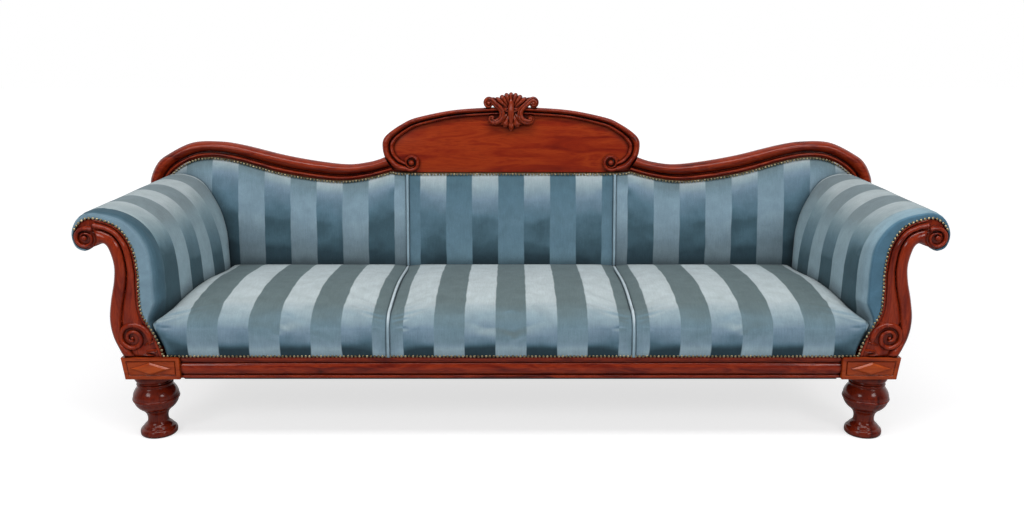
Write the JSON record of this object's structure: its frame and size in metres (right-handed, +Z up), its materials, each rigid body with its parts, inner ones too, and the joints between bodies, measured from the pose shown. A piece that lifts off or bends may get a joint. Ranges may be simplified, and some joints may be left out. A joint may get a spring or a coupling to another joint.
{
  "type": "scroll-arm sofa",
  "caption": "Long upholstered sofa with outward-scrolled arms, a serpentine show-wood top rail with a carved crest, a moulded seat rail and turned front feet.",
  "frame": {"origin": "on the floor, at the middle of the rectangle that the sofa stands in", "axes": "+X runs along the sofa, to the right of someone who faces it, +Y runs from its front to its back, +Z is up"},
  "size_m": [2.4018, 0.7, 0.9502],
  "materials": {
    "mahogany": "French polished",
    "mahogany_block": "French polished",
    "beech": "planed",
    "striped_velvet": "cut pile",
    "piping": "corded",
    "webbing": "woven jute",
    "bottom_cloth": "woven",
    "spring_steel": "drawn wire",
    "nail_brass": "antique"
  },
  "bodies": {
    "root": {"front_seat_rail": "mahogany", "rear_seat_rail": "beech", "left_side_rail": "beech", "right_side_rail": "beech", "seat_cross_rails": "beech", "corner_blocks": "beech", "frame_dowels": "beech", "left_leg_block": "mahogany_block", "right_leg_block": "mahogany_block", "left_front_foot": "mahogany", "right_front_foot": "mahogany", "left_rear_leg": "mahogany", "right_rear_leg": "mahogany", "seat_webbing": "webbing", "seat_springs": "spring_steel", "spring_canvas": "webbing", "seat_pad": "striped_velvet", "bottom_cloth": "bottom_cloth", "back_uprights": "beech", "back_bottom_rail": "beech", "back_top_frame": "beech", "back_webbing": "webbing", "back_pad": "striped_velvet", "outside_back_cover": "striped_velvet", "left_top_rail": "mahogany", "right_top_rail": "mahogany", "crest_panel": "mahogany", "crest_moulding": "mahogany", "crest_carving": "mahogany", "left_arm_facing": "mahogany", "right_arm_facing": "mahogany", "left_arm_front_board": "beech", "right_arm_front_board": "beech", "left_arm_rear_board": "beech", "right_arm_rear_board": "beech", "left_arm_roll_rail": "beech", "right_arm_roll_rail": "beech", "left_arm_bottom_rail": "beech", "right_arm_bottom_rail": "beech", "left_arm_webbing": "webbing", "right_arm_webbing": "webbing", "left_arm_pad": "striped_velvet", "right_arm_pad": "striped_velvet", "left_outside_arm_cover": "striped_velvet", "right_outside_arm_cover": "striped_velvet"}
  },
  "joints": []
}
